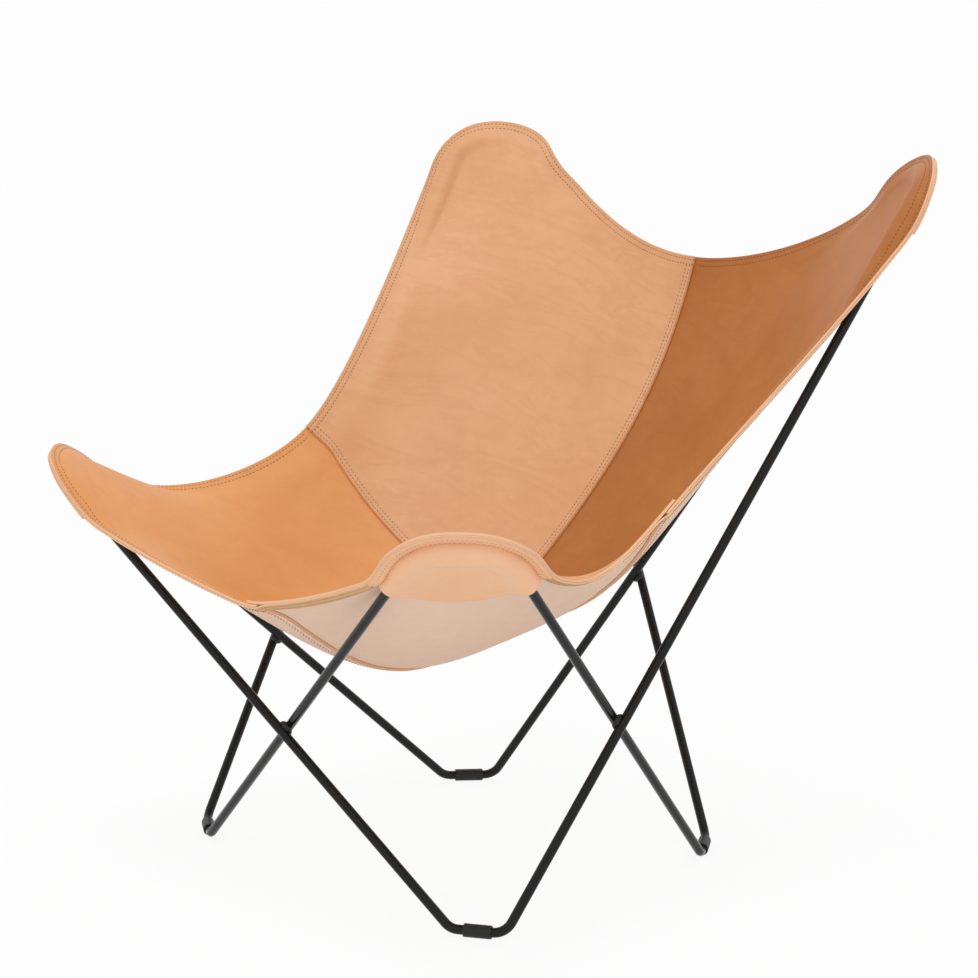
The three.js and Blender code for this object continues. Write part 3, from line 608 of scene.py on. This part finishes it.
def sheet_faces(cols, rows):
    """A closed sheet: top grid, under grid and walls, with a slot for each kind of face."""
    def at(c, r, under=0):
        return (under * cols + c) * rows + r

    faces, slots = [], []
    for c in range(cols - 1):
        for r in range(rows - 1):
            faces.append((at(c, r), at(c + 1, r), at(c + 1, r + 1), at(c, r + 1)))
            faces.append((at(c, r, 1), at(c, r + 1, 1), at(c + 1, r + 1, 1), at(c + 1, r, 1)))
            slots += [0, 1]
    for c in range(cols - 1):
        faces.append((at(c, 0), at(c, 0, 1), at(c + 1, 0, 1), at(c + 1, 0)))
        faces.append((at(c, rows - 1), at(c + 1, rows - 1), at(c + 1, rows - 1, 1), at(c, rows - 1, 1)))
        slots += [2, 2]
    for r in range(rows - 1):
        faces.append((at(0, r), at(0, r + 1), at(0, r + 1, 1), at(0, r, 1)))
        faces.append((at(cols - 1, r), at(cols - 1, r, 1), at(cols - 1, r + 1, 1), at(cols - 1, r + 1)))
        slots += [2, 2]
    return faces, slots


def add_sheet(name, tops, unders, materials, edge_mm):
    """A sheet with its own mark, edge_mm: how far each row lies from the leather's cut edge."""
    cols, rows = tops.shape[:2]
    faces, slots = sheet_faces(cols, rows)
    points = np.concatenate([tops.reshape(-1, 3), unders.reshape(-1, 3)])
    piece = add_piece(name, points, faces, materials, slots, sharp=60)
    mark = piece.data.attributes.new("edge_mm", "FLOAT", "POINT")
    mark.data.foreach_set("value", np.tile(edge_mm, 2 * cols))
    return piece


grain = bpy.data.node_groups.new("leather_grain", "ShaderNodeTree")
for label, kind, value in (
        ("Pale", "Color", (0.75, 0.45, 0.25, 1)), ("Deep", "Color", (0.6, 0.3, 0.13, 1)),
        ("Vein", "Float", 0.2), ("Edge", "Float", FAR_INSIDE)):
    socket = grain.interface.new_socket(name=label, in_out="INPUT", socket_type="NodeSocket" + kind)
    socket.default_value = value
for label, kind in (("Color", "Color"), ("Rough", "Float"), ("Height", "Float")):
    grain.interface.new_socket(name=label, in_out="OUTPUT", socket_type="NodeSocket" + kind)
given, grain_out = grain.nodes.new("NodeGroupInput").outputs, grain.nodes.new("NodeGroupOutput").inputs
place = object_place(grain)
cloud = noise(grain, place, scale=7.0, detail=5.0, roughness=0.55)
mottle = noise(grain, place, scale=48.0, detail=6.0, roughness=0.65)
patchy = mix_colour(grain, 0.55, map_range(grain, cloud, 0.0, 1.0, low=0.35, high=0.68), mottle)
blotched = mix_colour(grain, patchy, given["Pale"], given["Deep"])
stretch = new_node(grain, "ShaderNodeMapping", vector_type="TEXTURE")
stretch.inputs["Rotation"].default_value = (-0.215, 0.206, 0.0)
stretch.inputs["Scale"].default_value = (0.2, 0.2, 0.05)
feed(grain, place, stretch.inputs["Vector"])
vein = noise(grain, stretch.outputs["Vector"], scale=1.0, detail=7.0, roughness=0.62, distortion=1.6)
vein_line = new_node(grain, "ShaderNodeValToRGB")
vein_stops = vein_line.color_ramp.elements
vein_stops.new(0.56)
for stop, at, level in zip(vein_stops, (0.44, 0.50, 0.56), (0, 1, 0)):
    stop.position = at
    stop.color = (level, level, level, 1)
feed(grain, vein, vein_line.inputs["Fac"])
vein_share = calculate(grain, "MULTIPLY", vein_line.outputs["Color"], given["Vein"])
veined = mix_colour(grain, vein_share, blotched, given["Deep"])
handled = map_range(grain, given["Edge"], 0.4, 0.0, high=HEM_ROWS[-1])
burnished = map_range(grain, given["Edge"], 0.9, 0.0, high=1.8)
edged = mix_colour(grain, calculate(grain, "MAXIMUM", handled, burnished), veined, given["Deep"])
feed(grain, edged, grain_out["Color"])
feed(grain, map_range(grain, cloud, 0.38, 0.52), grain_out["Rough"])
pore = new_node(grain, "ShaderNodeTexVoronoi", scale=620.0)
feed(grain, place, pore.inputs["Vector"])
crease = noise(grain, place, scale=120.0, detail=6.0, roughness=0.6)
feed(grain, calculate(grain, "MULTIPLY_ADD", pore.outputs["Distance"], 0.35, crease), grain_out["Height"])


def grain_leather(name, pale, deep, vein_strength, gloss=0.30):
    material, tree, shader = new_material(name)
    use = tree.nodes.new("ShaderNodeGroup")
    use.node_tree = grain
    use.inputs["Pale"].default_value = (*pale, 1)
    use.inputs["Deep"].default_value = (*deep, 1)
    use.inputs["Vein"].default_value = vein_strength
    edge = new_node(tree, "ShaderNodeAttribute", attribute_name="edge_mm")
    feed(tree, edge.outputs["Fac"], use.inputs["Edge"])
    feed(tree, use.outputs["Color"], shader.inputs["Base Color"])
    feed(tree, use.outputs["Rough"], shader.inputs["Roughness"])
    grained = bump(tree, use.outputs["Height"], strength=0.22, distance=0.0004)
    feed(tree, grained, shader.inputs["Normal"])
    shader.inputs["Specular IOR Level"].default_value = gloss
    return material


def raw_leather(name, pale, deep, scale, strength):
    material, tree, shader = new_material(name)
    nap = noise(tree, object_place(tree), scale, detail=6.0, roughness=0.7)
    feed(tree, mix_colour(tree, nap, (*pale, 1), (*deep, 1)), shader.inputs["Base Color"])
    feed(tree, bump(tree, nap, strength, distance=0.0005), shader.inputs["Normal"])
    shader.inputs["Roughness"].default_value = 0.85
    shader.inputs["Specular IOR Level"].default_value = 0.2
    return material


flesh_side = raw_leather("flesh_side", (0.92, 0.685, 0.53), (0.82, 0.57, 0.43), 55.0, 0.35)
raw_edge = raw_leather("raw_edge", (0.86, 0.54, 0.34), (0.74, 0.40, 0.22), 420.0, 0.3)
PANEL_TINT = {
    "back_left": ("panel_light", (0.73, 0.40, 0.205), (0.61, 0.29, 0.13), 0.34),
    "front_left": ("panel_orange", (0.75, 0.345, 0.115), (0.64, 0.258, 0.075), 0.22),
    "front_right": ("panel_light", (0.75, 0.405, 0.19), (0.63, 0.30, 0.115), 0.25),
    # The back right panel's deep brown is partly the leather's own tone and partly painted shade, darkened
    # for the side that turns away from the key light.
    "back_right": ("panel_brown", (0.46, 0.163, 0.032), (0.355, 0.107, 0.014), 0.22),
}


def sewn_dip(steps, stitch_rows, dip, edge_round):
    """How the leather is drawn in under its rows of stitches, and rounded at its cut edge."""
    return -dip * np.isin(steps, stitch_rows) - edge_round * (steps == 0)


panel_under, panel_top, panel_lead = {}, {}, {}
hem_form = sewn_dip(HEM_ROWS, HEM_STITCHES, STITCH_DIP, EDGE_ROUND) + HEM_SWELL * (HEM_ROWS < HEM_ROWS[-2])
lap_form = sewn_dip(SEAM_STEPS, LAP_STITCHES, STITCH_DIP, EDGE_ROUND)
for corner in CORNERS:
    under, lead = panel_grid(corner)
    cols, rows = under.shape[:2]
    thick = np.full((cols, rows), PANEL)
    thick[:, :hem_count] += hem_form
    if UPPER[corner]:
        thick[:lead] += lap_form[:, None]
        thick[-lead:] += lap_form[::-1, None]
    top = under + grid_normals(under) * thick[..., None]
    panel_under[corner], panel_top[corner], panel_lead[corner] = under, top, lead
    edge_mm = np.concatenate([HEM_ROWS, np.full(rows - hem_count, FAR_INSIDE)])
    slot, pale, deep, veins = PANEL_TINT[corner]
    grain_side = grain_leather("grain_" + corner, pale, deep, veins)
    panel_faces = [grain_side, flesh_side, raw_edge]
    panel = add_sheet("leather_panel_" + corner, top, under, panel_faces, edge_mm)
    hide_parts("panel_" + corner)
    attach(panel, "root")

# The edge strips: 2 mm leather, 16 mm wide, sewn under the hem from one corner's apex to the
# next. They run under the lower panel and its lap, then step up under the upper panel.
STRIP = 2.0
STRIP_STEP = 16.0
SEWN = 0.3
strip_leather = raw_leather("strip_leather", (0.80, 0.50, 0.28), (0.66, 0.36, 0.17), 90.0, 0.3)


def apex_column(corner):
    return panel_lead[corner] + EDGE_COLUMNS - 1 + NOSE_COLUMNS // 2


def hem_part(corner, columns):
    grid = panel_under[corner]
    return grid[columns, :hem_count], grid_normals(grid)[columns, :hem_count]


strips = []
for index, name in enumerate(("left", "front", "right", "back")):
    before, after = CORNERS[index], CORNERS[(index + 1) % 4]
    low, high = (after, before) if UPPER[before] else (before, after)
    low_columns = np.arange(apex_column(low), len(panel_under[low]))
    high_columns = np.arange(len(SEAM_STEPS), apex_column(high) + 1)
    if UPPER[before]:
        low_columns = np.arange(0, apex_column(low) + 1)
        high_columns = np.arange(apex_column(high), len(panel_under[high]) - len(SEAM_STEPS))
    low_grid, low_up = hem_part(low, low_columns)
    high_grid, high_up = hem_part(high, high_columns)
    lap_end = low_grid[0, 0] if UPPER[before] else low_grid[-1, 0]
    away = np.linalg.norm(high_grid[:, 0] - lap_end, axis=1)
    step = (PANEL + LAP_FIT) * (1 - smooth(away / STRIP_STEP))
    high_grid = high_grid - high_up * step[:, None, None]
    parts = [(low_grid, low_up), (high_grid, high_up)]
    if UPPER[before]:
        parts.reverse()
    grid, ups = (np.concatenate(part) for part in zip(*parts))
    tops, unders = grid - ups * SEWN, grid - ups * (SEWN + STRIP)
    strips.append((unders, ups))
    strip_faces = [flesh_side, strip_leather, raw_edge]
    strip = add_sheet("edge_strip_sewn_" + name, tops, unders, strip_faces, HEM_ROWS)
    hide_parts("edge_strip_" + name)
    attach(strip, "root")

# The corner pockets: half moons of the same leather, grain side out, sewn on with the hem
# round each nose. The rod's bar lies inside, so the pocket bulges over it and ends in an
# open mouth, bowed a little, between the two rods.
POCKET = 2.6
POCKET_SLACK = 3.2
POCKET_HOLLOW, HOLLOW_REACH = 7.0, 26.0
POCKET_DIP, POCKET_ROUND = 0.3, 0.6
MOUTH_BOW = 16.0
POCKET_ROWS, POCKET_CROWD, POCKET_PASSES = 32, 1.6, 3
pocket_grain = grain_leather("pocket_grain", (0.92, 0.555, 0.33), (0.83, 0.445, 0.235), 0.15, gloss=0.55)
pockets = {}
for corner in CORNERS:
    lead = panel_lead[corner] + EDGE_COLUMNS - 1
    hem, hem_up = hem_part(corner, np.arange(lead, lead + NOSE_COLUMNS + 1))
    hem = hem - hem_up * (2 * SEWN + STRIP)
    mouth_in = unit(np.cross(face_up(0.9, nose_turn[corner]), turn_way(1.0, nose_turn[corner])))
    ends = tip_local(corner, hang(1.0, nose_turn[corner]) + mouth_in * BODY_INSET)[:, :2]
    local = tip_local(corner, hem.reshape(-1, 3)).reshape(hem.shape)
    depth = ROD_RADIUS + POCKET_SLACK
    share = np.linspace(0, 1, POCKET_ROWS + 1)[1:] ** POCKET_CROWD
    grid = []
    for col in range(NOSE_COLUMNS + 1):
        start, lift = local[col, -1, :2], local[col, -1, 2]
        part = col / NOSE_COLUMNS
        finish = ends[0] + (ends[1] - ends[0]) * part
        finish[1] -= MOUTH_BOW * 4 * part * (1 - part)
        flat = start + (finish - start) * share[:, None]
        distance = rod_distance(corner, flat)
        past = np.arange(POCKET_ROWS) > int(np.argmin(distance))
        near = rod_distance(corner, start[None])[0]
        bulge = np.sqrt(1 - np.clip(distance / near, 0, 1) ** 2)
        outside = lift - (lift + depth) * bulge
        inside = -depth + POCKET_HOLLOW * smooth(distance / HOLLOW_REACH)
        rows = np.column_stack([flat, np.where(past, inside, outside)])
        grid.append(np.concatenate([local[col], rows]))
    grid = np.array(grid)
    height = grid[..., 2]
    for turn in range(POCKET_PASSES):
        across = height[:-2, hem_count:] + height[2:, hem_count:]
        height[1:-1, hem_count:] += (across - 2 * height[1:-1, hem_count:]) / 4
        along = height[:, hem_count - 1:-2] + height[:, hem_count + 1:]
        height[:, hem_count:-1] += (along - 2 * height[:, hem_count:-1]) / 4
    tops = tip_points(corner, grid.reshape(-1, 3)).reshape(grid.shape)
    ups = grid_normals(tops)
    thick = np.full(tops.shape[1], POCKET)
    thick[:hem_count] += sewn_dip(HEM_ROWS, HEM_STITCHES, POCKET_DIP, POCKET_ROUND)
    unders = tops - ups * thick[None, :, None]
    pockets[corner] = (unders, ups)
    edge_mm = np.concatenate([HEM_ROWS, np.full(POCKET_ROWS - 2, FAR_INSIDE), [2.0, 0.0]])
    pocket_faces = [flesh_side, pocket_grain, raw_edge]
    pocket = add_sheet("leather_pocket_" + corner, tops, unders, pocket_faces, edge_mm)
    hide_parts("pocket_" + corner)
    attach(pocket, "root")
    width, length = np.linalg.norm(tops[-1, 0] - tops[0, 0]), run_lengths(tops[NOSE_COLUMNS // 2])[-1]

# The stitching: dark brown waxed thread, two rows round the whole hem and two along each lap.
# Every stitch is a short lens of thread, sunk a little into the leather, on both faces.
STITCH_PITCH = 5.4
STITCH_LENGTH = 3.1
STITCH_WIDTH = 0.9
STITCH_SIDES, STITCH_RINGS = 6, 4
THREAD_RISE = 0.05
POCKET_SINK = 0.2
LAP_FIRST_ROW, LAP_LAST_ROW = 7, hem_count + SEAT_ROWS - 4
hem_rows = [int(np.argmax(HEM_ROWS == inset)) for inset in HEM_STITCHES]
lines = []
for corner in CORNERS:
    top, under = panel_top[corner], panel_under[corner]
    hidden = 0 if UPPER[corner] else len(TONGUE_STEPS)
    raised = top + grid_normals(top) * THREAD_RISE
    pocket_face = pockets[corner][0] + pockets[corner][1] * POCKET_SINK
    for row in hem_rows:
        lines.append(raised[hidden:len(top) - hidden, row])
        lines.append(pocket_face[:, row])
    below = under - grid_normals(under) * THREAD_RISE
    for distance in LAP_STITCHES:
        if UPPER[corner]:
            column = int(np.argmax(SEAM_STEPS == distance))
            lines.append(raised[column, LAP_FIRST_ROW:LAP_LAST_ROW])
            lines.append(raised[-1 - column, LAP_FIRST_ROW:LAP_LAST_ROW])
        else:
            column = int(np.argmax(TONGUE_STEPS == -distance))
            lines.append(below[column, hem_count:LAP_LAST_ROW])
            lines.append(below[-1 - column, hem_count:LAP_LAST_ROW])
for unders, ups in strips:
    below = unders - ups * THREAD_RISE
    skip = NOSE_COLUMNS // 2
    for row in hem_rows:
        lines.append(below[skip:-skip, row])

stitch_edges, base = [], 0
for line in lines:
    stitch_edges += [(base + step, base + step + 1) for step in range(len(line) - 1)]
    base += len(line)
thread, tree, shader = new_material("waxed_thread")
twist = noise(tree, object_place(tree), scale=700.0, detail=2.0)
thread_tint = mix_colour(tree, twist, (0.045, 0.018, 0.008, 1), (0.11, 0.048, 0.020, 1))
feed(tree, thread_tint, shader.inputs["Base Color"])
shader.inputs["Roughness"].default_value = 0.55

stitch_mesh = bpy.data.meshes.new("stitch_lines")
stitch_mesh.from_pydata(((np.concatenate(lines) + FLOOR_POINT) * MM).tolist(), stitch_edges, [])
stitch_guide = bpy.data.objects.new("stitch_guide", stitch_mesh)
bpy.context.scene.collection.objects.link(stitch_guide)
sewing = bpy.data.node_groups.new("sewing", "GeometryNodeTree")
sewing.interface.new_socket(name="Lines", in_out="INPUT", socket_type="NodeSocketGeometry")
sizes = {}
for label in ("Pitch", "Length", "Width"):
    sizes[label] = sewing.interface.new_socket(name=label, in_out="INPUT", socket_type="NodeSocketFloat")
sewing.interface.new_socket(name="Stitches", in_out="OUTPUT", socket_type="NodeSocketGeometry")
sew_in, sew_out = sewing.nodes.new("NodeGroupInput"), sewing.nodes.new("NodeGroupOutput")
to_curve = sewing.nodes.new("GeometryNodeMeshToCurve")
to_points = sewing.nodes.new("GeometryNodeCurveToPoints")
to_points.mode = "LENGTH"
stitch_form = sewing.nodes.new("GeometryNodeMeshUVSphere")
stitch_form.inputs["Segments"].default_value = STITCH_SIDES
stitch_form.inputs["Rings"].default_value = STITCH_RINGS
stitch_form.inputs["Radius"].default_value = 0.5
stitch_size = sewing.nodes.new("ShaderNodeCombineXYZ")
put = sewing.nodes.new("GeometryNodeInstanceOnPoints")
real = sewing.nodes.new("GeometryNodeRealizeInstances")
coloured = sewing.nodes.new("GeometryNodeSetMaterial")
coloured.inputs["Material"].default_value = thread
for source, target in (
        (sew_in.outputs["Lines"], to_curve.inputs["Mesh"]),
        (to_curve.outputs["Curve"], to_points.inputs["Curve"]),
        (sew_in.outputs["Pitch"], to_points.inputs["Length"]),
        (sew_in.outputs["Width"], stitch_size.inputs["X"]),
        (sew_in.outputs["Width"], stitch_size.inputs["Y"]),
        (sew_in.outputs["Length"], stitch_size.inputs["Z"]),
        (to_points.outputs["Points"], put.inputs["Points"]),
        (to_points.outputs["Rotation"], put.inputs["Rotation"]),
        (stitch_form.outputs["Mesh"], put.inputs["Instance"]),
        (stitch_size.outputs["Vector"], put.inputs["Scale"]),
        (put.outputs["Instances"], real.inputs["Geometry"]),
        (real.outputs["Geometry"], coloured.inputs["Geometry"]),
        (coloured.outputs["Geometry"], sew_out.inputs["Stitches"])):
    sewing.links.new(source, target)
sew = stitch_guide.modifiers.new("sewing", "NODES")
sew.node_group = sewing
for label, value in (("Pitch", STITCH_PITCH), ("Length", STITCH_LENGTH), ("Width", STITCH_WIDTH)):
    sew[sizes[label].identifier] = value * MM
sewn = bpy.data.meshes.new_from_object(stitch_guide.evaluated_get(bpy.context.evaluated_depsgraph_get()))
sewn.polygons.foreach_set("use_smooth", [True] * len(sewn.polygons))
stitches = bpy.data.objects.new("stitches", sewn)
bpy.context.scene.collection.objects.link(stitches)
bpy.data.objects.remove(stitch_guide)
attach(stitches, "root")

# The studio: a white floor and surround, soft lights from the front right and from above,
# and a weak one from the left. The floor is white to the camera and keeps a faint shadow.
FLOOR_REACH = 200
FLOOR_DROP = 0.0005
FLOOR_WHITE = 0.9


def seen(tree):
    """1 where the camera sees a thing, straight or in a gloss or through glass, and 0 elsewhere."""
    rays = tree.nodes.new("ShaderNodeLightPath").outputs
    direct = calculate(tree, "MAXIMUM", rays["Is Camera Ray"], rays["Is Glossy Ray"])
    return calculate(tree, "MAXIMUM", direct, rays["Is Transmission Ray"])


def soft_light(name, place, aim, size, watts):
    lamp = bpy.data.lights.new(name, "AREA")
    lamp.shape = "DISK"
    lamp.size = size
    lamp.energy = watts
    light = bpy.data.objects.new(name, lamp)
    light.location = place
    way = np.array(aim) - np.array(place)
    turn = math.atan2(way[0], -way[1])
    light.rotation_euler = (math.atan2(math.hypot(way[0], way[1]), -way[2]), 0, turn)
    bpy.context.scene.collection.objects.link(light)


floor_mesh = bpy.data.meshes.new("studio_floor")
floor_ways = ((-1, -1), (1, -1), (1, 1), (-1, 1))
floor_corners = [(x * FLOOR_REACH, y * FLOOR_REACH, -FLOOR_DROP) for x, y in floor_ways]
floor_mesh.from_pydata(floor_corners, [], [(0, 1, 2, 3)])
floor = bpy.data.objects.new("studio_floor", floor_mesh)
bpy.context.scene.collection.objects.link(floor)
floor_paint, tree, shader = new_material("studio_floor_paint")
shader.inputs["Base Color"].default_value = (0.86, 0.86, 0.86, 1)
shader.inputs["Roughness"].default_value = 0.9
white = new_node(tree, "ShaderNodeEmission", strength=1.0)
white.inputs["Color"].default_value = (1, 1, 1, 1)
blend = tree.nodes.new("ShaderNodeMixShader")
feed(tree, calculate(tree, "MULTIPLY", seen(tree), FLOOR_WHITE), blend.inputs[0])
feed(tree, shader.outputs["BSDF"], blend.inputs[1])
feed(tree, white.outputs["Emission"], blend.inputs[2])
feed(tree, blend.outputs["Shader"], tree.nodes["Material Output"].inputs["Surface"])
floor_mesh.materials.append(floor_paint)

world = bpy.data.worlds.new("studio")
bpy.context.scene.world = world
world.use_nodes = True
tree = world.node_tree
sky = tree.nodes["Background"]
sky.inputs["Color"].default_value = (1, 1, 1, 1)
feed(tree, map_range(tree, seen(tree), 0.92, 1.0), sky.inputs["Strength"])

soft_light("key_light", (2.2, -1.7, 2.4), (0, 0, 0.45), 0.7, 36)
soft_light("top_light", (0.1, -0.5, 3.1), (0, 0, 0.45), 1.8, 21)
soft_light("fill_light", (-1.4, -2.8, 1.6), (0, 0, 0.4), 1.6, 10)

# The camera stands to the front right, a little above the seat, with a long lens. Its place
# and turn are those from which the photograph shows the feet, crossings and tips.
CAMERA_PLACE = np.array([2642.87, -2436.0, 1156.5])
CAMERA_RIGHT = (0.68210, 0.73123, 0.01063)
CAMERA_UP = (-0.14253, 0.11866, 0.98271)
CAMERA_BACK = (0.71728, -0.67178, 0.18515)
lens = bpy.data.cameras.new("photo_camera")
lens.lens = 104.67
lens.sensor_width = 36.0
lens.clip_end = 600
camera = bpy.data.objects.new("photo_camera", lens)
spot = (CAMERA_PLACE + FLOOR_POINT) * MM
camera.matrix_world = Matrix([*zip(CAMERA_RIGHT, CAMERA_UP, CAMERA_BACK, spot), (0, 0, 0, 1)])
bpy.context.scene.collection.objects.link(camera)
bpy.context.scene.camera = camera
bpy.context.scene.view_settings.view_transform = "Standard"
